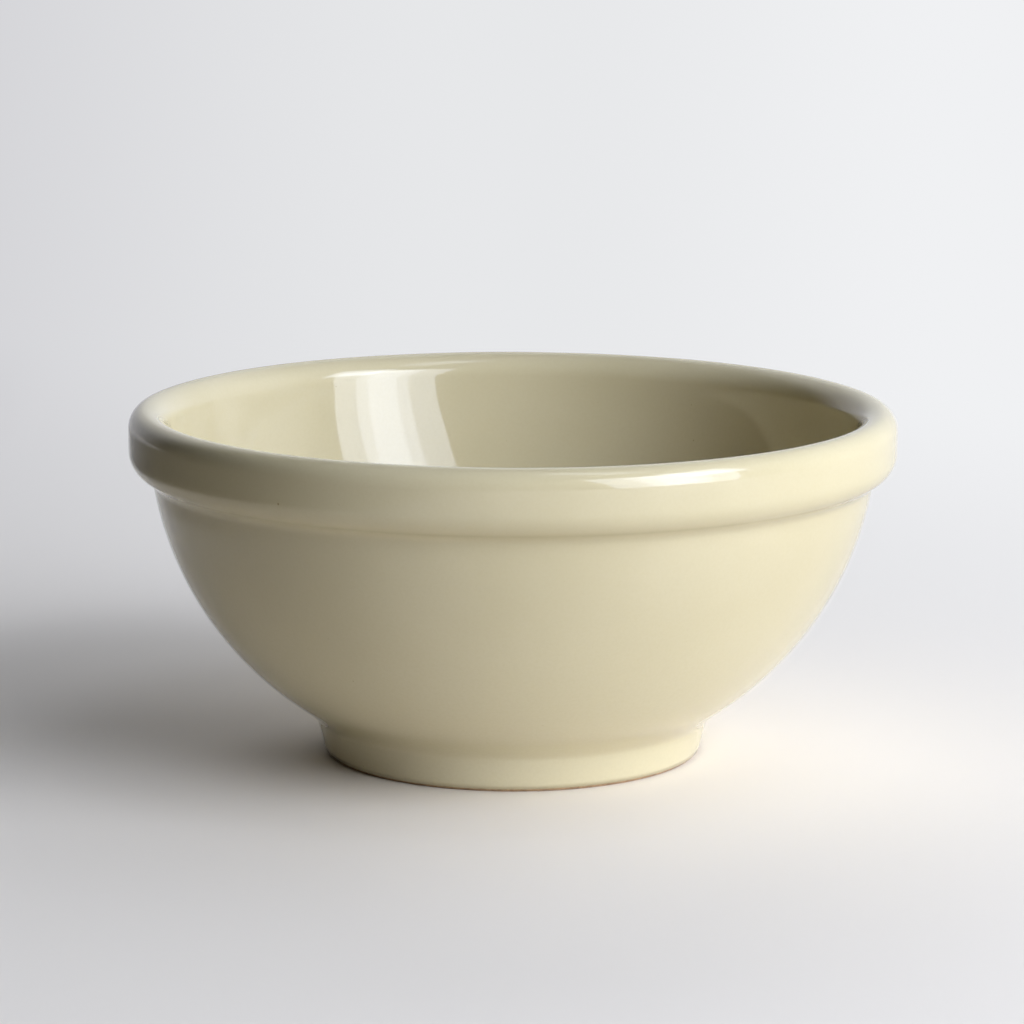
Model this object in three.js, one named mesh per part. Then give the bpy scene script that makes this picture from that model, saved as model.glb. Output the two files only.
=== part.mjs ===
// A round cereal bowl with a rolled rim band and a turned foot ring.
// It is one piece of fired clay under two separate skins of fused glaze: the coat that covers
// the inside, the rim and the outside, and the patch inside the foot ring. The ring's own face
// was wiped bare before firing, so that the bowl does not stick to the kiln shelf.
// Lengths are millimetres and heights are measured from the table. Outside sizes are over the glaze.

import * as THREE from "three";

// Rim band
const RIM_DIAMETER = 160;
const BOWL_HEIGHT = 73;
const SHOULDER_WIDTH = 3.4;
const SHOULDER_HEIGHT = 4;
const BAND_SIDE_HEIGHT = 3.2;
const BAND_UNDER_HEIGHT = 6.4;
const BAND_OVERHANG = 4.7;
const BAND_CREASE = 2.8;
const LIP_WIDTH = 5.2;
const LIP_DROP = 5.2;

// Body
const BODY_CURVE_RADIUS = 70;
const INSIDE_CURVE_RADIUS = 72;
const WALL_AT_FOOT = 7;
const FLOOR_THICKNESS = 5.9;
const FLOOR_CURVE_RISE = 13;
const FLAT_FLOOR_SHARE = 0.5;

// Foot ring
const FOOT_DIAMETER = 79;
const FOOT_FLARE = 2.4;
const FOOT_HEIGHT = 9.7;
const FOOT_SHELF = 1.9;
const FOOT_CREASE = 3;
const RING_WIDTH = 4.5;
const RING_BEVEL = 0.4;
const WELL_DEPTH = 5.1;
const WELL_FLARE = 1.5;
const WELL_CREASE = 2.5;

// Glaze
const GLAZE = 0.4;
const FUSED_GAP = 0.01;
const BARE_STRIP = 0.2;

// Faces round the bowl and along each stretch of its outline
const FACES_ROUND = 48;
const LONG_STEPS = 7;
const SHORT_STEPS = 4;
const CREASE_STEPS = 3;

const QUARTER_TURN = Math.PI / 2;

const rimRadius = RIM_DIAMETER / 2;
const footRadius = FOOT_DIAMETER / 2;
const bandSideTop = BOWL_HEIGHT - SHOULDER_HEIGHT;
const bandSideBottom = bandSideTop - BAND_SIDE_HEIGHT;
const bandBottom = bandSideBottom - BAND_UNDER_HEIGHT;
const floorHeight = WELL_DEPTH + FLOOR_THICKNESS;
const glazeLine = RING_BEVEL + BARE_STRIP;

const at = (radius, height) => new THREE.Vector2(radius, height);

/** The direction from one point to another. */
function towards(from, to) {
  return to.clone().sub(from).normalize();
}

/** A point a distance on from a start, along a direction. */
function along(start, direction, distance) {
  return start.clone().addScaledVector(direction, distance);
}

/** The centre of the arc of a given radius that runs from low to high and bulges outwards. */
function arcCentre(low, high, radius) {
  const half = low.distanceTo(high) / 2;
  const chord = towards(low, high);
  const inwards = at(-chord.y, chord.x);
  return along(low, chord, half).addScaledVector(inwards, Math.sqrt(radius ** 2 - half ** 2));
}

/** The direction in which an outline runs anticlockwise round a centre. */
function anticlockwise(centre, point) {
  const spoke = towards(centre, point);
  return at(-spoke.y, spoke.x);
}

/** The angle of a point seen from a centre. */
function angleOf(centre, point) {
  return Math.atan2(point.y - centre.y, point.x - centre.x);
}

/** The points of an arc from an angle to another, either way round. */
function arc(centre, radius, from, to, steps) {
  return new THREE.EllipseCurve(centre.x, centre.y, radius, radius, from, to, to < from).getPoints(steps);
}

/** The points of an anticlockwise stretch of an ellipse. */
function ellipse(centre, width, height, from, to, steps) {
  return new THREE.EllipseCurve(centre.x, centre.y, width, height, from, to).getPoints(steps);
}

/** A soft crease or corner: it leaves p along u and reaches q along v. */
function crease(p, u, q, v, steps) {
  const run = q.clone().sub(p).cross(v) / u.clone().cross(v);
  return new THREE.QuadraticBezierCurve(p, along(p, u, run), q).getPoints(steps);
}

/** The stretches as one outline, without the points that two neighbours share. */
function join(...stretches) {
  const shared = GLAZE / 100;
  return stretches.flat().filter((p, i, all) => i === 0 || p.distanceTo(all[i - 1]) > shared);
}

/** The outline moved to its left, which is into the clay. */
function inset(outline, depth) {
  return outline.map((p, i) => {
    const run = towards(outline[Math.max(i - 1, 0)], outline[Math.min(i + 1, outline.length - 1)]);
    return along(p, at(-run.y, run.x), depth);
  });
}

/** The finished outside and inside, from a height on the foot up over the rim to the floor's middle. */
function shellOutline(start) {
  const footFoot = at(footRadius, 0);
  const footTop = at(footRadius + FOOT_FLARE, FOOT_HEIGHT);
  const footRun = towards(footFoot, footTop);
  const bodyLow = at(footTop.x + FOOT_SHELF, FOOT_HEIGHT);
  const bodyHigh = at(rimRadius - BAND_OVERHANG, bandBottom);
  const centre = arcCentre(bodyLow, bodyHigh, BODY_CURVE_RADIUS);

  // The foot's side, and the crease where the body springs from it.
  const sideStart = along(footFoot, footRun, start / footRun.y);
  const sideEnd = along(footTop, footRun, -FOOT_CREASE);
  const bodyFrom = angleOf(centre, bodyLow) + FOOT_CREASE / BODY_CURVE_RADIUS;
  const bodyTo = angleOf(centre, bodyHigh) - BAND_CREASE / BODY_CURVE_RADIUS;
  const body = arc(centre, BODY_CURVE_RADIUS, bodyFrom, bodyTo, LONG_STEPS);
  const bodyStart = body[0];
  const bodyEnd = body[LONG_STEPS];
  const footCrease = crease(sideEnd, footRun, bodyStart, anticlockwise(centre, bodyStart), CREASE_STEPS);

  // The band swells out over a soft crease and rolls over to the crown of the rim.
  const underCentre = at(bodyHigh.x, bandSideBottom);
  const underFrom = Math.asin(Math.min(BAND_CREASE / BAND_OVERHANG, 1)) - QUARTER_TURN;
  const under = ellipse(underCentre, BAND_OVERHANG, BAND_UNDER_HEIGHT, underFrom, 0, SHORT_STEPS);
  const underRun = at(-Math.sin(underFrom) * BAND_OVERHANG, Math.cos(underFrom) * BAND_UNDER_HEIGHT);
  const bandCrease = crease(bodyEnd, anticlockwise(centre, bodyEnd), under[0], underRun, CREASE_STEPS);
  const crownRadius = rimRadius - SHOULDER_WIDTH;
  const shoulder = ellipse(
    at(crownRadius, bandSideTop), SHOULDER_WIDTH, SHOULDER_HEIGHT, 0, QUARTER_TURN, SHORT_STEPS);

  // The crown rolls over into the inside wall, which thickens towards the foot.
  const lipBottom = BOWL_HEIGHT - LIP_DROP;
  const lip = ellipse(
    at(crownRadius, lipBottom), LIP_WIDTH, LIP_DROP, QUARTER_TURN, 2 * QUARTER_TURN, SHORT_STEPS);
  const wallTop = at(crownRadius - LIP_WIDTH, lipBottom);
  const wallLow = along(bodyLow, towards(bodyLow, centre), WALL_AT_FOOT);
  const wallCentre = arcCentre(wallLow, wallTop, INSIDE_CURVE_RADIUS);

  // A wide curve carries the wall into the flat floor.
  const wallDrop = wallCentre.y - floorHeight - FLOOR_CURVE_RISE;
  const wallEnd = -Math.asin(wallDrop / INSIDE_CURVE_RADIUS);
  const wall = arc(wallCentre, INSIDE_CURVE_RADIUS, angleOf(wallCentre, wallTop), wallEnd, LONG_STEPS);
  const wallFoot = wall[LONG_STEPS];
  const wallRun = anticlockwise(wallCentre, wallFoot).negate();
  const cornerRadius = wallFoot.x + wallRun.x * FLOOR_CURVE_RISE / -wallRun.y;
  const flatEdge = at(cornerRadius * FLAT_FLOOR_SHARE, floorHeight);
  const floorCurve = crease(wallFoot, wallRun, flatEdge, at(-1, 0), SHORT_STEPS);

  return join([sideStart], footCrease, body, bandCrease, under, shoulder, lip, wall, floorCurve,
    [at(0, floorHeight)]);
}

/** The finished surface inside the foot ring, from the middle of its ceiling down to a height. */
function wellOutline(end) {
  const edge = at(footRadius - GLAZE - RING_BEVEL - RING_WIDTH - RING_BEVEL - GLAZE, 0);
  const ceiling = at(edge.x - WELL_FLARE, WELL_DEPTH);
  const run = towards(ceiling, edge);
  const outwards = at(1, 0);
  const creaseStart = at(ceiling.x - WELL_CREASE, WELL_DEPTH);
  const creaseEnd = along(ceiling, run, WELL_CREASE);
  return join([at(0, WELL_DEPTH)], crease(creaseStart, outwards, creaseEnd, run, CREASE_STEPS),
    [along(edge, run, end / run.y)]);
}

/** A closed solid of revolution about +Z from a closed outline of radius and height. */
function turned(name, outline, material) {
  const geometry = new THREE.LatheGeometry(outline, FACES_ROUND);
  geometry.rotateX(QUARTER_TURN);
  const mesh = new THREE.Mesh(geometry, material);
  mesh.name = name;
  return mesh;
}

/** The clay under the glaze, with the wiped face that the bowl stands on. */
function clayBody() {
  const well = inset(wellOutline(glazeLine), GLAZE);
  const shell = inset(shellOutline(glazeLine), GLAZE);
  const wellEdge = well[well.length - 1];
  const shellEdge = shell[0];
  const face = [
    at(wellEdge.x, RING_BEVEL),
    at(wellEdge.x + RING_BEVEL, 0),
    at(shellEdge.x - RING_BEVEL, 0),
    at(shellEdge.x, RING_BEVEL),
  ];
  const clay = new THREE.MeshStandardMaterial({ color: 0xc9a67c, roughness: 0.85, metalness: 0 });
  return turned("clay_body", [...well, ...face, ...shell], clay);
}

const glaze = new THREE.MeshStandardMaterial({ color: 0xd6cba5, roughness: 0.12, metalness: 0 });

/** The glaze over the whole bowl but its foot ring. A hair of room keeps it from cutting into the clay. */
function glazeCoat() {
  const underside = inset(shellOutline(glazeLine), GLAZE - FUSED_GAP).reverse();
  const finished = shellOutline(glazeLine + GLAZE);
  return turned("glaze_coat", [...finished, ...underside, finished[0].clone()], glaze);
}

/** The patch of glaze inside the foot ring. */
function footWellGlaze() {
  const finished = wellOutline(glazeLine + GLAZE);
  const underside = inset(wellOutline(glazeLine), GLAZE - FUSED_GAP).reverse();
  return turned("foot_well_glaze", [...finished, ...underside], glaze);
}

const bowl = new THREE.Group();
bowl.add(clayBody(), glazeCoat(), footWellGlaze());

export default bowl;
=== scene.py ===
"""A glazed stoneware cereal bowl on a pale studio sweep, laid out as an add-on and run as a script."""

import math

import bpy
from mathutils import Matrix, Vector


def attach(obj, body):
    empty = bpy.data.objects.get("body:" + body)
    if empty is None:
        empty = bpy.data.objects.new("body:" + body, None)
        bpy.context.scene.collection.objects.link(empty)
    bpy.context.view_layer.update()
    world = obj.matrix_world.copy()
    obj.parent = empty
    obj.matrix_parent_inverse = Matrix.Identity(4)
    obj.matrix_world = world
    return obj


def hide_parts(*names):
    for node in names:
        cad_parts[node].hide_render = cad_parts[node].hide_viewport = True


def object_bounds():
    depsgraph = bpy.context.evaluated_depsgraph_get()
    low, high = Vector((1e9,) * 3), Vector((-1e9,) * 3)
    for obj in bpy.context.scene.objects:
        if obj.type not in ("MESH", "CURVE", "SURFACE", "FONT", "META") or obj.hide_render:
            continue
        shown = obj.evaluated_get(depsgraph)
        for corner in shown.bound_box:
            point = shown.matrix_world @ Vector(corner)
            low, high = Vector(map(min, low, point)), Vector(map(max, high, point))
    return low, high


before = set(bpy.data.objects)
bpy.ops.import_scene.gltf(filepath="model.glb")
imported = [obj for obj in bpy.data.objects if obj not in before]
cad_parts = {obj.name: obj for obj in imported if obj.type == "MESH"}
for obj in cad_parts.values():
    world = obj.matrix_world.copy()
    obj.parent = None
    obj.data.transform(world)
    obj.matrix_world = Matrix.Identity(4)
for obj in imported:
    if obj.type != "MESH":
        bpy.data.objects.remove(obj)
cad_low, cad_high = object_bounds()

bl_info = {
    "name": "Cereal Bowl",
    "version": (1, 0, 0),
    "blender": (4, 5, 0),
    "location": "View3D > Sidebar > Bowl",
    "description": "Models a glazed cereal bowl with its clay, its glaze and a studio sweep",
    "category": "Add Mesh",
}

MM = 0.001
QUARTER_TURN = math.pi / 2

# Width of the camera's sensor, in millimetres, as its focal length is
SENSOR_WIDTH = 36

# Radius of the small ring that stands for a point on the axis until it is merged
AXIS_RING = 0.05 * MM

# Points of an outline that are nearer to each other than this are one point.
SAME_POINT = 0.001 * MM

# Steps along the stretches of the outline
BODY_STEPS = 40
WALL_STEPS = 30
ROLL_STEPS = 14
SHOULDER_STEPS = 12
UNDER_STEPS = 10
CREASE_STEPS = 8
FOOT_STEPS = 6
FLAT_STEPS = 6

# Rounds in which the end of the lip is brought to the lean of the inside wall
LIP_ROUNDS = 8

# Corners of the round sweep
SWEEP_CORNERS = 128

# Least part of a line of sight that counts as running away from the camera
LEAST_AWAY = 0.2

# Each lamp's name, its stretch of azimuth and of elevation in degrees, its distance in metres, and whether
# it is seen in mirror images. Those that aren't stand for the light that comes off the room's walls.
LAMPS = (
    ("key", (26, 69), (-2, 44), 1.2, True),
    ("halo", (37, 59), (-1, 44), 1.17, True),
    ("core", (42, 54), (0, 44), 1.15, True),
    ("high", (54, 78), (28, 50), 1.25, True),
    ("side", (70, 140), (30, 60), 1.4, False),
    ("back", (105, 160), (0, 26), 1.5, False),
    ("rear", (160, 205), (4, 40), 1.6, False),
    ("top", (40, 80), (64, 84), 1.2, True),
)


def length(name, description, default):
    """A size in metres that a user can change."""
    return bpy.props.FloatProperty(
        name=name, description=description, default=default, min=0.0, precision=5, unit="LENGTH")


def position(name, description, default):
    """A place along an axis, in metres, on either side of the bowl."""
    return bpy.props.FloatProperty(
        name=name, description=description, default=default, precision=5, unit="LENGTH")


def angle(name, description, degrees):
    """An angle, written here in degrees."""
    return bpy.props.FloatProperty(
        name=name, description=description, default=math.radians(degrees), unit="ROTATION")


def fraction(name, description, default):
    """A plain number from nothing to one."""
    return bpy.props.FloatProperty(
        name=name, description=description, default=default, min=0.0, max=1.0, subtype="FACTOR")


def number(name, description, default):
    """A plain number that is never negative."""
    return bpy.props.FloatProperty(name=name, description=description, default=default, min=0.0)


def colour(name, description, default):
    """A colour, in linear light."""
    return bpy.props.FloatVectorProperty(
        name=name, description=description, default=default, size=3, min=0.0, soft_max=1.0, subtype="COLOR")


class BowlSizes(bpy.types.PropertyGroup):
    """The bowl's sizes over the glaze."""

    rim_radius: length("Rim radius", "From the axis to the side of the rim band", cad_high.x)
    height: length("Height", "From the table to the crown of the rim", cad_high.z)
    shoulder_width: length("Shoulder width", "From the band's side in to the crown", 3.4 * MM)
    shoulder_height: length("Shoulder height", "From the band's side up to the crown", 4.0 * MM)
    band_side: length("Band side", "Upright stretch of the band's side", 4.6 * MM)
    band_under: length("Band underside", "Height of the band's rounded underside", 5.0 * MM)
    band_overhang: length("Band overhang", "How far the band stands out from the body", 4.7 * MM)
    band_crease: length("Band crease", "Reach of the soft crease under the band", 2.0 * MM)
    lip_width: length("Lip width", "From the crown in to the top of the inside wall", 5.2 * MM)
    lip_drop: length("Lip drop", "Height over which the crown rolls into the inside wall", 5.2 * MM)
    body_curve: length("Body curve", "Radius of the belly's arc", 70.0 * MM)
    inside_curve: length("Inside curve", "Radius of the inside wall's arc", 72.0 * MM)
    wall_at_foot: length("Wall at the foot", "Thickness of the wall just above the foot", 7.0 * MM)
    floor_height: length("Floor height", "From the table to the inside floor", 11.0 * MM)
    floor_curve_rise: length("Floor curve rise", "Height above the floor where the wall turns in", 13.0 * MM)
    flat_floor_share: fraction("Flat floor share", "Flat middle's share of the floor", 0.5)
    foot_radius: length("Foot radius", "Radius of the foot at the table", 39.5 * MM)
    foot_flare: length("Foot flare", "How much wider the foot is at its top", 2.4 * MM)
    foot_height: length("Foot height", "From the table to where the body springs from the foot", 9.7 * MM)
    foot_shelf: length("Foot shelf", "Step from the foot's top out to the body", 1.9 * MM)
    foot_crease: length("Foot crease", "Reach of the soft crease above the foot", 3.0 * MM)
    ring_width: length("Ring width", "Width of the bare face that the bowl stands on", 4.5 * MM)
    ring_bevel: length("Ring bevel", "Bevel at both edges of the bare face", 0.4 * MM)
    well_depth: length("Well depth", "Height of the hollow inside the foot ring", 5.1 * MM)
    well_flare: length("Well flare", "How much wider the hollow is at the table", 1.5 * MM)
    well_crease: length("Well crease", "Reach of the soft corner in the hollow", 2.5 * MM)
    glaze: length("Glaze", "Thickness of the glaze", 0.4 * MM)
    glaze_gap: length("Glaze gap", "Hair of room between the glaze and the clay", 0.02 * MM)
    bare_strip: length("Bare strip", "Bare clay between the ring's bevel and the glaze", 0.2 * MM)
    glaze_flow: length("Glaze flow", "Height of the slow waves in the glaze", 0.12 * MM)
    glaze_flow_size: length("Glaze flow size", "Width of the slow waves in the glaze", 28.0 * MM)
    faces_round: bpy.props.IntProperty(
        name="Faces round", description="Faces round the bowl", default=192, min=24, max=256)


class BowlLooks(bpy.types.PropertyGroup):
    """The finish of the glaze and of the bare clay. Each count is of waves or grains along a metre."""

    glaze_colour: colour("Glaze", "Colour of the glaze", (0.585, 0.508, 0.32))
    glaze_shade: colour("Glaze shade", "Colour of the glaze's slow drift", (0.565, 0.488, 0.3))
    drift_count: number("Drift count", "Waves of the slow drift", 28)
    # Painted light: the lower bowl, inside and out, is painted in a paler colour below these heights, for
    # light that the lamps don't give there.
    foot_painted_light_colour: colour("Pooled glaze", "Colour where the glaze has run thicker", (0.65, 0.575, 0.37))
    painted_light_top: length("Pool top", "Height up to which the glaze has run thicker", 50.0 * MM)
    painted_light_bottom: length("Pool bottom", "Height below which the glaze is thickest", 12.0 * MM)
    mottle_colour: colour("Mottle", "Colour of the fine mottle in the glaze", (0.47, 0.38, 0.2))
    mottle_count: number("Mottle count", "Grains of the fine mottle", 1500)
    mottle_share: fraction("Mottle share", "How much of its colour the mottle lends the glaze", 0.09)
    speck_colour: colour("Specks", "Colour of the iron specks in the glaze", (0.34, 0.25, 0.13))
    speck_count: number("Speck count", "Grains of which the strongest are specks", 900)
    gloss_roughness: fraction("Gloss roughness", "Roughness of the glaze's surface", 0.05)
    gloss_index: number("Gloss index", "Refractive index of the glaze", 1.5)
    peel_count: number("Peel count", "Waves of the glaze's faint orange peel", 260)
    peel_depth: length("Peel depth", "Depth of the orange peel at full strength", 0.3 * MM)
    peel_strength: fraction("Peel strength", "How strongly the orange peel shows", 0.03)
    clay_colour: colour("Clay", "Colour of the bare clay", (0.55, 0.37, 0.21))
    clay_shade: colour("Clay shade", "Colour of the clay's darker grains", (0.36, 0.22, 0.115))
    clay_count: number("Clay count", "Grains of the clay's colour", 700)
    clay_roughness: fraction("Clay roughness", "Roughness of the bare clay", 0.85)
    sand_count: number("Sand count", "Grains of sand in the clay", 1500)
    sand_depth: length("Sand depth", "Depth of the sandy surface at full strength", 0.15 * MM)
    sand_strength: fraction("Sand strength", "How strongly the sandy surface shows", 0.5)


class BowlStage(bpy.types.PropertyGroup):
    """The sweep, the lamps and the camera."""

    camera_distance: length("Camera distance", "From the camera to the bowl's middle", 0.839)
    camera_target: length("Camera target", "Height on the axis that the camera's place is set from", 0.037)
    camera_side: length("Camera side", "How far the camera stands to the left of the axis", 0.15 * MM)
    camera_rise: angle("Camera rise", "How far above the horizon the camera stands, from the bowl", 11.455)
    camera_pitch: angle("Camera pitch", "How far the camera looks down", 10.565)
    camera_roll: angle("Camera roll", "How far the camera is rolled", 0.17)
    camera_lens: bpy.props.FloatProperty(
        name="Lens", description="Focal length for a sensor 36 mm wide", default=140.3, unit="CAMERA")
    camera_reach: length("Camera reach", "How far the camera sees", 30.0)
    sweep_radius: length("Sweep radius", "Reach of the paper sweep", 6.0)
    sweep_colour: colour("Sweep", "Colour of the paper sweep", (0.82, 0.755, 0.66))
    sweep_roughness: fraction("Sweep roughness", "Roughness of the paper", 0.9)
    sweep_shine: fraction("Sweep shine", "Strength of the paper's own shine", 0.2)
    table_colour: colour("Table", "Colour of the dark table to the left of the paper", (0.05, 0.05, 0.05))
    paper_left: length("Paper left", "How far the paper reaches to the left of the bowl's axis", 0.15)
    paper_fade: length("Paper fade", "Width over which the paper's left edge passes into the table", 0.08)
    # Painted shade: the backdrop is painted darker at its left than at its right, as shade across a backdrop
    # lit from the right.
    backdrop_left: colour("Backdrop left", "Colour at the backdrop's left", (0.614, 0.612, 0.64))
    backdrop_middle: colour("Backdrop middle", "Colour at the backdrop's middle", (0.799, 0.807, 0.822))
    backdrop_right: colour("Backdrop right", "Colour at the backdrop's right", (0.871, 0.879, 0.896))
    left_reach: number("Left reach", "Half widths of the picture from the middle to the left colour", 1.6)
    right_reach: number("Right reach", "Half widths of the picture from the middle to the right colour", 0.9)
    backdrop_start: position("Backdrop start", "Where the floor starts to pass into the backdrop", -0.04)
    backdrop_end: length("Backdrop end", "How far behind the bowl the floor is all backdrop", 0.55)
    slant_share: fraction("Slant share", "How much nearer the backdrop comes, of the way to the right", 0.5)
    key_glow: number("Key", "Brightness of the tall soft box on the right", 4.3)
    halo_glow: number("Halo", "Added brightness round the middle of the soft box", 2.65)
    core_glow: number("Core", "Added brightness in the middle of the soft box", 1.95)
    high_glow: number("High", "Brightness of the lamp above the soft box", 5.4)
    side_glow: number("Side", "Brightness of the wide lamp high on the right", 1.45)
    back_glow: number("Back", "Brightness of the low lamp on the right behind the bowl", 2.2)
    rear_glow: number("Rear", "Brightness of the lamp behind the bowl", 2.7)
    top_glow: number("Top", "Brightness of the lamp over the bowl", 2.4)
    lamp_tint: colour("Lamp tint", "Colour of the lamps' light", (0.92, 1.0, 1.18))
    lamp_aim: length("Lamp aim", "Height on the bowl's axis that the lamps face", 0.06)
    room_colour: colour("Room", "Light of the dim room", (0.02, 0.02, 0.02))


def sizes():
    return bpy.context.scene.bowl_sizes


def looks():
    return bpy.context.scene.bowl_looks


def stage():
    return bpy.context.scene.bowl_stage


# Outlines of radius and height

def along(start, direction, distance):
    """A point a distance on from a start, along a direction."""
    return start + direction.normalized() * distance


def left_of(direction):
    """The direction turned a quarter anticlockwise, which points into the clay along an outline."""
    return Vector((-direction.y, direction.x)).normalized()


def straight(start, end, steps):
    """Points of a straight stretch."""
    return [start + (end - start) * i / steps for i in range(steps + 1)]


def ellipse(centre, width, height, start, end, steps):
    """Points of a stretch of an ellipse."""
    angles = [start + (end - start) * i / steps for i in range(steps + 1)]
    return [centre + Vector((width * math.cos(a), height * math.sin(a))) for a in angles]


def crease(start, leaving, end, arriving, steps):
    """Points of a soft crease that leaves its start and reaches its end in the given directions."""
    run = (end - start).cross(arriving) / leaving.cross(arriving)
    peak = start + leaving * run
    shares = [i / steps for i in range(steps + 1)]
    return [start * (1 - t) ** 2 + peak * 2 * t * (1 - t) + end * t ** 2 for t in shares]


def arc_centre(low, high, radius):
    """The centre of the arc of a radius that runs from low to high and bulges outwards."""
    half = (high - low).length / 2
    return (low + high) / 2 + left_of(high - low) * math.sqrt(radius ** 2 - half ** 2)


def angle_of(centre, point):
    """The angle of a point seen from a centre."""
    spoke = point - centre
    return math.atan2(spoke.y, spoke.x)


def join(*stretches):
    """The stretches as one outline, without the points that two neighbours share."""
    outline = []
    for point in sum(stretches, []):
        if not outline or (point - outline[-1]).length > SAME_POINT:
            outline.append(point)
    return outline


def inset(outline, depth):
    """The outline moved to its left, which is into the clay."""
    moved = []
    for i, point in enumerate(outline):
        run = outline[min(i + 1, len(outline) - 1)] - outline[max(i - 1, 0)]
        moved.append(point + left_of(run) * depth)
    return moved


def glaze_line():
    """The height above the table at which the glaze ends."""
    bowl = sizes()
    return bowl.ring_bevel + bowl.bare_strip


def shell_outline():
    """The finished outside and inside, from the glaze's edge on the foot to the middle of the floor."""
    bowl = sizes()
    side_top = bowl.height - bowl.shoulder_height
    side_bottom = side_top - bowl.band_side
    band_bottom = side_bottom - bowl.band_under
    foot_bottom = Vector((bowl.foot_radius, 0))
    foot_top = Vector((bowl.foot_radius + bowl.foot_flare, bowl.foot_height))
    foot_run = (foot_top - foot_bottom).normalized()
    body_low = Vector((foot_top.x + bowl.foot_shelf, bowl.foot_height))
    body_high = Vector((bowl.rim_radius - bowl.band_overhang, band_bottom))
    centre = arc_centre(body_low, body_high, bowl.body_curve)

    # The foot's side, and the body that springs from it over a soft crease.
    side_start = foot_bottom + foot_run * (glaze_line() / foot_run.y)
    side_end = foot_top - foot_run * bowl.foot_crease
    side = straight(side_start, side_end, FOOT_STEPS)
    body_from = angle_of(centre, body_low) + bowl.foot_crease / bowl.body_curve
    body_to = angle_of(centre, body_high) - bowl.band_crease / bowl.body_curve
    body = ellipse(centre, bowl.body_curve, bowl.body_curve, body_from, body_to, BODY_STEPS)
    foot_crease = crease(side_end, foot_run, body[0], left_of(body[0] - centre), FOOT_STEPS)

    # The band swells out over a soft crease and rolls over to the crown of the rim.
    under_centre = Vector((body_high.x, side_bottom))
    under_from = math.asin(min(bowl.band_crease / bowl.band_overhang, 1)) - QUARTER_TURN
    under = ellipse(under_centre, bowl.band_overhang, bowl.band_under, under_from, 0, UNDER_STEPS)
    under_run = Vector((-math.sin(under_from) * bowl.band_overhang, math.cos(under_from) * bowl.band_under))
    band_crease = crease(body[-1], left_of(body[-1] - centre), under[0], under_run, CREASE_STEPS)
    crown = bowl.rim_radius - bowl.shoulder_width
    roll_centre = Vector((crown, side_top))
    shoulder = ellipse(
        roll_centre, bowl.shoulder_width, bowl.shoulder_height, 0, QUARTER_TURN, SHOULDER_STEPS)

    # The lip ends where it leans as the inside wall does, so that the two meet without a corner.
    lip_middle = Vector((crown, bowl.height - bowl.lip_drop))
    wall_low = along(body_low, centre - body_low, bowl.wall_at_foot)
    lip_end = 2 * QUARTER_TURN
    for _ in range(LIP_ROUNDS):
        lip = ellipse(lip_middle, bowl.lip_width, bowl.lip_drop, QUARTER_TURN, lip_end, ROLL_STEPS)
        wall_top = lip[-1]
        wall_centre = arc_centre(wall_low, wall_top, bowl.inside_curve)
        inwards = wall_centre - wall_top
        lip_end = math.atan2(bowl.lip_drop * inwards.y, bowl.lip_width * inwards.x)

    # The inside wall thickens towards the foot, and a wide curve carries it into the flat floor.
    wall_drop = wall_centre.y - bowl.floor_height - bowl.floor_curve_rise
    wall_from = angle_of(wall_centre, wall_top)
    wall_to = -math.asin(wall_drop / bowl.inside_curve)
    wall = ellipse(wall_centre, bowl.inside_curve, bowl.inside_curve, wall_from, wall_to, WALL_STEPS)
    wall_run = left_of(wall_centre - wall[-1])
    corner_radius = wall[-1].x - wall_run.x * bowl.floor_curve_rise / wall_run.y
    flat_edge = Vector((corner_radius * bowl.flat_floor_share, bowl.floor_height))
    floor_curve = crease(wall[-1], wall_run, flat_edge, Vector((-1, 0)), ROLL_STEPS)
    flat = straight(flat_edge, Vector((0, bowl.floor_height)), FLAT_STEPS)
    return join(side, foot_crease, body, band_crease, under, shoulder, lip, wall, floor_curve, flat)


def well_outline():
    """The finished surface inside the foot ring, from the middle of its ceiling down to the glaze's edge."""
    bowl = sizes()
    edge = Vector((bowl.foot_radius - bowl.ring_width - 2 * (bowl.glaze + bowl.ring_bevel), 0))
    ceiling = Vector((edge.x - bowl.well_flare, bowl.well_depth))
    run = (edge - ceiling).normalized()
    flat_end = Vector((ceiling.x - bowl.well_crease, bowl.well_depth))
    flat = straight(Vector((0, bowl.well_depth)), flat_end, CREASE_STEPS)
    corner = crease(flat_end, Vector((1, 0)), ceiling + run * bowl.well_crease, run, CREASE_STEPS)
    return join(flat, corner, [edge + run * (glaze_line() / run.y)])


def clay_outline():
    """The clay under the glaze, from the middle of the well's ceiling round to the middle of the floor."""
    bowl = sizes()
    well = inset(well_outline(), bowl.glaze)
    shell = inset(shell_outline(), bowl.glaze)
    face = [
        Vector((well[-1].x, bowl.ring_bevel)),
        Vector((well[-1].x + bowl.ring_bevel, 0)),
        Vector((shell[0].x - bowl.ring_bevel, 0)),
        Vector((shell[0].x, bowl.ring_bevel)),
    ]
    return join(well, face, shell)


# Modelling

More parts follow.
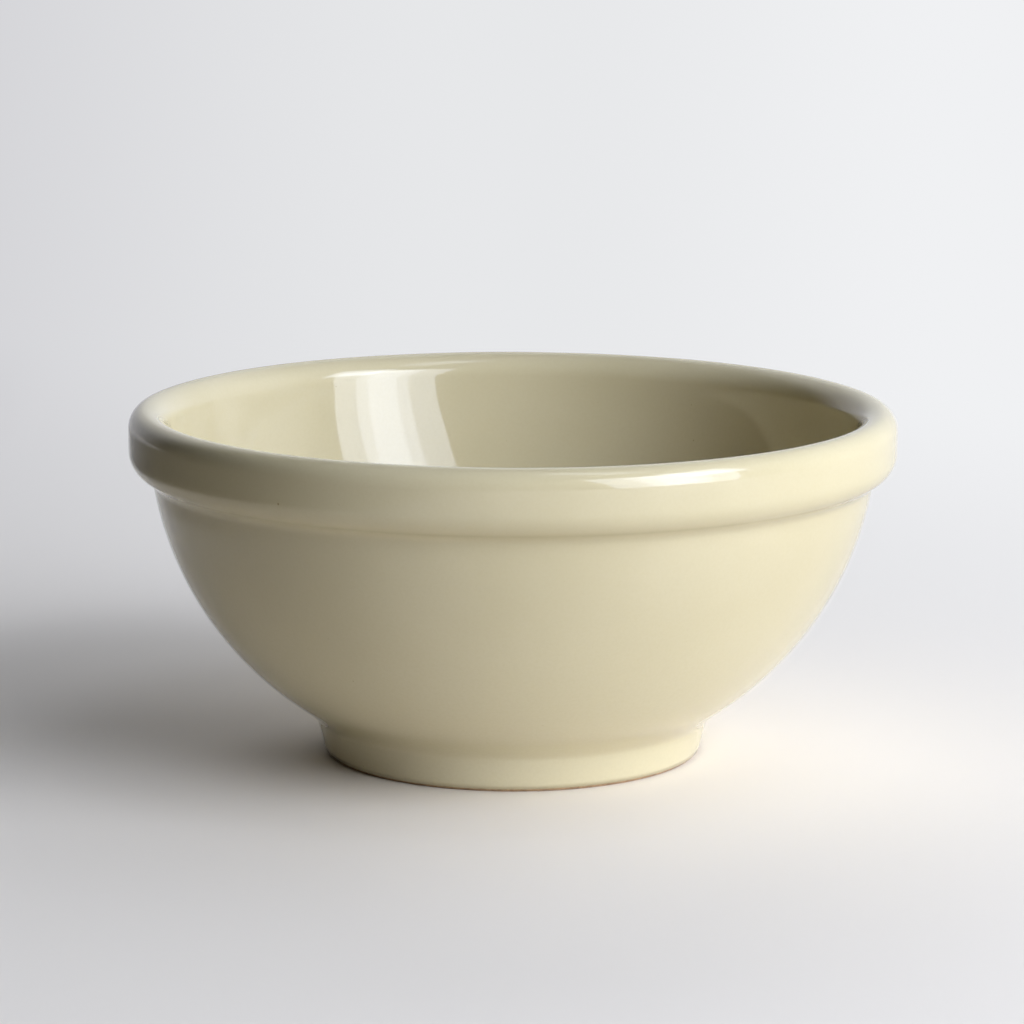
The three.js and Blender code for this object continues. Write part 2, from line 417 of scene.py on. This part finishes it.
def turn_on_wheel(name, outline):
    """Draws a ring at the outline's start and extrudes it ring by ring along the outline.

    An end of the outline on the axis is closed by merging its ring into one point.
    """
    start = outline[0]
    radius = max(start.x, AXIS_RING)
    height = start.y
    bpy.ops.object.select_all(action="DESELECT")
    bpy.ops.mesh.primitive_circle_add(
        vertices=sizes().faces_round, radius=radius, fill_type="NOTHING", location=(0, 0, height))
    piece = bpy.context.object
    piece.name = name
    piece.data.name = name
    bpy.ops.object.transform_apply(location=True, rotation=True, scale=True)
    bpy.ops.object.mode_set(mode="EDIT")
    bpy.ops.mesh.select_all(action="SELECT")
    for point in outline[1:]:
        wanted = max(point.x, AXIS_RING)
        growth = wanted / radius
        bpy.ops.mesh.extrude_edges_move(TRANSFORM_OT_translate={"value": (0, 0, point.y - height)})
        bpy.ops.transform.resize(value=(growth, growth, 1), center_override=(0, 0, point.y))
        radius = wanted
        height = point.y
    if outline[-1].x < AXIS_RING:
        bpy.ops.mesh.merge(type="CENTER")
    if start.x < AXIS_RING:
        bpy.ops.mesh.select_all(action="DESELECT")
        bpy.ops.object.mode_set(mode="OBJECT")
        for vertex in piece.data.vertices:
            at_axis = vertex.co.xy.length < 2 * AXIS_RING
            vertex.select = at_axis and abs(vertex.co.z - start.y) < AXIS_RING
        bpy.ops.object.mode_set(mode="EDIT")
        bpy.ops.mesh.merge(type="CENTER")
    bpy.ops.mesh.select_all(action="SELECT")
    bpy.ops.mesh.normals_make_consistent(inside=False)
    bpy.ops.object.mode_set(mode="OBJECT")
    bpy.ops.object.shade_smooth()
    return piece


def settle_glaze(piece):
    """Gives the glaze its slow waves and its thickness."""
    bowl = sizes()
    waves = bpy.data.textures.new("glaze_waves", "CLOUDS")
    waves.noise_scale = bowl.glaze_flow_size
    waves.noise_depth = 1
    flow = piece.modifiers.new("flow", "DISPLACE")
    flow.texture = waves
    flow.texture_coords = "LOCAL"
    flow.strength = bowl.glaze_flow
    skin = piece.modifiers.new("skin", "SOLIDIFY")
    skin.thickness = bowl.glaze - bowl.glaze_gap
    skin.offset = -1
    bpy.context.view_layer.objects.active = piece
    for modifier in (flow, skin):
        bpy.ops.object.modifier_apply(modifier=modifier.name)


# Materials

class Graph:
    """The nodes of a material or of the world, with a short way to add each kind that is used here."""

    def __init__(self, tree):
        self.nodes = tree.nodes
        self.links = tree.links

    def feed(self, socket, value):
        """Links a socket to another one, or sets it to a plain number or colour."""
        if isinstance(value, bpy.types.NodeSocket):
            self.links.new(value, socket)
        elif socket.type == "RGBA":
            socket.default_value = (*value, 1)
        else:
            socket.default_value = value

    def coordinates(self, kind):
        return self.nodes.new("ShaderNodeTexCoord").outputs[kind]

    def split(self, vector):
        """The three parts of a vector."""
        node = self.nodes.new("ShaderNodeSeparateXYZ")
        self.feed(node.inputs["Vector"], vector)
        return node.outputs["X"], node.outputs["Y"], node.outputs["Z"]

    def noise(self, place, scale, detail, roughness=0.5):
        node = self.nodes.new("ShaderNodeTexNoise")
        self.feed(node.inputs["Vector"], place)
        self.feed(node.inputs["Scale"], scale)
        self.feed(node.inputs["Detail"], detail)
        self.feed(node.inputs["Roughness"], roughness)
        return node.outputs["Fac"]

    def ramp(self, value, low, high):
        """Spreads a value so that low becomes 0 and high becomes 1."""
        node = self.nodes.new("ShaderNodeMapRange")
        node.interpolation_type = "SMOOTHSTEP"
        self.feed(node.inputs["Value"], value)
        self.feed(node.inputs["From Min"], low)
        self.feed(node.inputs["From Max"], high)
        return node.outputs["Result"]

    def mix(self, factor, first, second):
        """Mixes two colours."""
        node = self.nodes.new("ShaderNodeMix")
        node.data_type = "RGBA"
        self.feed(node.inputs["Factor"], factor)
        colours = [socket for socket in node.inputs if socket.type == "RGBA"]
        self.feed(colours[0], first)
        self.feed(colours[1], second)
        return next(socket for socket in node.outputs if socket.type == "RGBA")

    def reckon(self, operation, first, second):
        """Works out one value from two."""
        node = self.nodes.new("ShaderNodeMath")
        node.operation = operation
        self.feed(node.inputs[0], first)
        self.feed(node.inputs[1], second)
        return node.outputs["Value"]

    def bump(self, height, depth, strength):
        node = self.nodes.new("ShaderNodeBump")
        self.feed(node.inputs["Height"], height)
        self.feed(node.inputs["Distance"], depth)
        self.feed(node.inputs["Strength"], strength)
        return node.outputs["Normal"]

    def blend(self, factor, first, second, output):
        """Mixes two shaders and leads them to the output."""
        node = self.nodes.new("ShaderNodeMixShader")
        self.feed(node.inputs["Fac"], factor)
        self.feed(node.inputs[1], first)
        self.feed(node.inputs[2], second)
        self.feed(self.nodes[output].inputs["Surface"], node.outputs["Shader"])

    def seen_or_mirrored(self):
        """One for what the eye sees, straight or in a shiny surface, and nothing for light on things."""
        path = self.nodes.new("ShaderNodeLightPath").outputs
        seen = self.reckon("MAXIMUM", path["Is Camera Ray"], path["Is Glossy Ray"])
        return self.reckon("MAXIMUM", seen, path["Is Transmission Ray"])


def new_material(name):
    """A material with its plain shader, and the graph that the shader is part of."""
    material = bpy.data.materials.new(name)
    material.use_nodes = True
    graph = Graph(material.node_tree)
    return material, graph, graph.nodes["Principled BSDF"]


def glaze_material(name):
    """Cream glaze with a slow drift, a fine mottle, specks and a little peel, painted paler towards the foot
    as painted light.
    """
    finish = looks()
    material, graph, shader = new_material(name)
    place = graph.coordinates("Object")
    height = graph.split(place)[2]
    drift = graph.ramp(graph.noise(place, finish.drift_count, detail=3), low=0.35, high=0.65)
    tone = graph.mix(drift, finish.glaze_colour, finish.glaze_shade)
    # Painted light: paler from the upper height down to the lower one, for light that the lamps don't give
    # the lower bowl.
    tone = graph.mix(graph.ramp(height, finish.painted_light_top, finish.painted_light_bottom), tone, finish.foot_painted_light_colour)
    mottle = graph.ramp(graph.noise(place, finish.mottle_count, detail=2), low=0.3, high=0.8)
    tone = graph.mix(graph.reckon("MULTIPLY", mottle, finish.mottle_share), tone, finish.mottle_colour)
    specks = graph.ramp(graph.noise(place, finish.speck_count, detail=1), low=0.8, high=0.9)
    tone = graph.mix(specks, tone, finish.speck_colour)
    peel = graph.noise(place, finish.peel_count, detail=2)
    graph.feed(shader.inputs["Base Color"], tone)
    graph.feed(shader.inputs["Roughness"], finish.gloss_roughness)
    graph.feed(shader.inputs["IOR"], finish.gloss_index)
    graph.feed(shader.inputs["Normal"], graph.bump(peel, finish.peel_depth, finish.peel_strength))
    return material


def clay_material(name):
    """Bare fired clay: matt, sandy and slightly open."""
    finish = looks()
    material, graph, shader = new_material(name)
    place = graph.coordinates("Object")
    grain = graph.ramp(graph.noise(place, finish.clay_count, detail=4, roughness=0.65), low=0.4, high=0.7)
    sand = graph.noise(place, finish.sand_count, detail=3)
    graph.feed(shader.inputs["Base Color"], graph.mix(grain, finish.clay_colour, finish.clay_shade))
    graph.feed(shader.inputs["Roughness"], finish.clay_roughness)
    graph.feed(shader.inputs["Normal"], graph.bump(sand, finish.sand_depth, finish.sand_strength))
    return material


def dress(piece, name, make, node):
    """Gives a piece its finish, which is made when it is first asked for, and ties it to the frame."""
    piece.data.materials.clear()
    piece.data.materials.append(bpy.data.materials.get(name) or make(name))
    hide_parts(node)
    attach(piece, "root")


# The bowl's pieces

class BOWL_OT_clay_body(bpy.types.Operator):
    """Turns the fired clay, from the well in the foot round to the inside floor"""

    bl_idname = "bowl.clay_body"
    bl_label = "Clay Body"

    def execute(self, context):
        piece = turn_on_wheel("fired_clay_body", clay_outline())
        dress(piece, "bare_clay", clay_material, "clay_body")
        return {"FINISHED"}


class BOWL_OT_glaze_coat(bpy.types.Operator):
    """Pours the glaze over the outside, the rim and the inside"""

    bl_idname = "bowl.glaze_coat"
    bl_label = "Glaze Coat"

    def execute(self, context):
        piece = turn_on_wheel("cream_glaze_coat", shell_outline())
        settle_glaze(piece)
        dress(piece, "stoneware_glaze", glaze_material, "glaze_coat")
        return {"FINISHED"}


class BOWL_OT_foot_well_glaze(bpy.types.Operator):
    """Pours the patch of glaze inside the foot ring"""

    bl_idname = "bowl.foot_well_glaze"
    bl_label = "Foot Well Glaze"

    def execute(self, context):
        piece = turn_on_wheel("cream_well_glaze", well_outline())
        settle_glaze(piece)
        dress(piece, "stoneware_glaze", glaze_material, "foot_well_glaze")
        return {"FINISHED"}


# The stage

def backdrop_tone(graph, sideways, away):
    """The backdrop's colour along a line of sight that runs so far sideways and so far away, darker to the
    left as painted shade.
    """
    studio = stage()
    fan = graph.reckon("DIVIDE", sideways, away)
    half_view = SENSOR_WIDTH / 2 / studio.camera_lens
    left_half = graph.mix(
        graph.ramp(fan, -studio.left_reach * half_view, 0), studio.backdrop_left, studio.backdrop_middle)
    return graph.mix(graph.ramp(fan, 0, studio.right_reach * half_view), left_half, studio.backdrop_right)


def sweep_material():
    """Paper that takes the bowl's shadow near it and passes into a glowing backdrop far behind it, with
    painted shade to the left.
    """
    studio = stage()
    material, graph, shader = new_material("sweep_paper")
    x, y, _ = graph.split(graph.coordinates("Object"))
    paper = graph.ramp(x, -studio.paper_left - studio.paper_fade, -studio.paper_left)
    graph.feed(shader.inputs["Base Color"], graph.mix(paper, studio.table_colour, studio.sweep_colour))
    graph.feed(shader.inputs["Roughness"], studio.sweep_roughness)
    graph.feed(shader.inputs["Specular IOR Level"], studio.sweep_shine)

    from_camera = graph.reckon("ADD", y, studio.camera_distance * math.cos(studio.camera_rise))
    backdrop = graph.nodes.new("ShaderNodeEmission")
    graph.feed(backdrop.inputs["Color"], backdrop_tone(graph, x, from_camera))
    behind = graph.reckon("ADD", y, graph.reckon("MULTIPLY", x, studio.slant_share))
    far = graph.ramp(behind, studio.backdrop_start, studio.backdrop_end)
    factor = graph.reckon("MULTIPLY", graph.seen_or_mirrored(), far)
    graph.blend(factor, shader.outputs["BSDF"], backdrop.outputs["Emission"], "Material Output")
    return material


def studio_world():
    """A dim room whose pale backdrop stands behind the bowl for the eye and for mirror images alone.

    The backdrop fades out towards the room's sides, sooner on the left, and towards its ceiling.
    """
    studio = stage()
    world = bpy.data.worlds.new("studio")
    world.use_nodes = True
    graph = Graph(world.node_tree)
    room = graph.nodes["Background"]
    graph.feed(room.inputs["Color"], studio.room_colour)

    x, y, z = graph.split(graph.coordinates("Generated"))
    backdrop = graph.nodes.new("ShaderNodeBackground")
    away = graph.reckon("MAXIMUM", y, LEAST_AWAY)
    graph.feed(backdrop.inputs["Color"], backdrop_tone(graph, x, away))
    slanted = graph.reckon("ADD", y, graph.reckon("MULTIPLY", x, studio.slant_share))
    behind = graph.ramp(slanted, low=0.1, high=0.6)
    below_ceiling = graph.ramp(z, low=0.95, high=0.55)
    factor = graph.reckon("MULTIPLY", behind, below_ceiling)
    factor = graph.reckon("MULTIPLY", factor, graph.seen_or_mirrored())
    graph.blend(factor, room.outputs["Background"], backdrop.outputs["Background"], "World Output")
    return world


def polar(azimuth, elevation, distance, height):
    """A place seen from a height on the bowl's axis. Azimuth runs from the camera to the right."""
    out = distance * math.cos(elevation)
    up = distance * math.sin(elevation)
    return Vector((math.sin(azimuth) * out, -math.cos(azimuth) * out, up + height))


def soft_lamp(name, azimuths, elevations, distance, mirrored):
    """A rectangular soft lamp that covers a stretch of the room, in degrees, and faces the bowl."""
    studio = stage()
    left, right = map(math.radians, azimuths)
    low, high = map(math.radians, elevations)
    rise = (low + high) / 2
    place = polar((left + right) / 2, rise, distance, studio.lamp_aim)
    width = 2 * distance * math.cos(rise) * math.tan((right - left) / 2)
    height = 2 * distance * math.tan((high - low) / 2)
    bpy.ops.object.light_add(type="AREA", location=place)
    lamp = bpy.context.object
    lamp.name = name
    lamp.data.shape = "RECTANGLE"
    lamp.data.size = width
    lamp.data.size_y = height
    lamp.data.energy = getattr(studio, f"{name}_glow") * math.pi * width * height
    lamp.data.color = studio.lamp_tint
    lamp.rotation_euler = (Vector((0, 0, studio.lamp_aim)) - place).to_track_quat("-Z", "Y").to_euler()
    lamp.visible_camera = False
    lamp.visible_glossy = mirrored


def lay_sweep():
    bpy.ops.object.select_all(action="DESELECT")
    bpy.ops.mesh.primitive_circle_add(vertices=SWEEP_CORNERS, radius=stage().sweep_radius, fill_type="NGON")
    sweep = bpy.context.object
    sweep.name = "sweep"
    sweep.data.materials.append(sweep_material())


def set_camera():
    studio = stage()
    data = bpy.data.cameras.new("camera")
    data.sensor_width = SENSOR_WIDTH
    data.lens = studio.camera_lens
    data.clip_end = studio.camera_reach
    camera = bpy.data.objects.new("camera", data)
    bpy.context.scene.collection.objects.link(camera)
    camera.location = polar(0, studio.camera_rise, studio.camera_distance, studio.camera_target)
    camera.location.x -= studio.camera_side
    look = Vector((0, math.cos(studio.camera_pitch), -math.sin(studio.camera_pitch)))
    facing = look.to_track_quat("-Z", "Y").to_matrix().to_4x4()
    camera.rotation_euler = (facing @ Matrix.Rotation(studio.camera_roll, 4, "Z")).to_euler()
    bpy.context.scene.camera = camera


class BOWL_OT_stage(bpy.types.Operator):
    """Lays the sweep and sets the lamps and the camera"""

    bl_idname = "bowl.stage"
    bl_label = "Stage"

    def execute(self, context):
        lay_sweep()
        for name, azimuths, elevations, distance, mirrored in LAMPS:
            soft_lamp(name, azimuths, elevations, distance, mirrored)
        context.scene.world = studio_world()
        set_camera()
        context.scene.view_settings.view_transform = "Standard"
        return {"FINISHED"}


class BOWL_PT_panel(bpy.types.Panel):
    """Lists the bowl's pieces in the order in which they are made"""

    bl_idname = "BOWL_PT_panel"
    bl_label = "Cereal Bowl"
    bl_space_type = "VIEW_3D"
    bl_region_type = "UI"
    bl_category = "Bowl"

    def draw(self, context):
        for operator in OPERATORS:
            self.layout.operator(operator.bl_idname)


OPERATORS = (BOWL_OT_clay_body, BOWL_OT_glaze_coat, BOWL_OT_foot_well_glaze, BOWL_OT_stage)
GROUPS = {"bowl_sizes": BowlSizes, "bowl_looks": BowlLooks, "bowl_stage": BowlStage}


def register():
    for name, group in GROUPS.items():
        bpy.utils.register_class(group)
        setattr(bpy.types.Scene, name, bpy.props.PointerProperty(type=group))
    for cls in (*OPERATORS, BOWL_PT_panel):
        bpy.utils.register_class(cls)


def unregister():
    for cls in (BOWL_PT_panel, *reversed(OPERATORS)):
        bpy.utils.unregister_class(cls)
    for name, group in reversed(GROUPS.items()):
        delattr(bpy.types.Scene, name)
        bpy.utils.unregister_class(group)


def main():
    register()
    bpy.ops.bowl.clay_body()
    bpy.ops.bowl.glaze_coat()
    bpy.ops.bowl.foot_well_glaze()
    bpy.ops.bowl.stage()


if __name__ == "__main__":
    main()
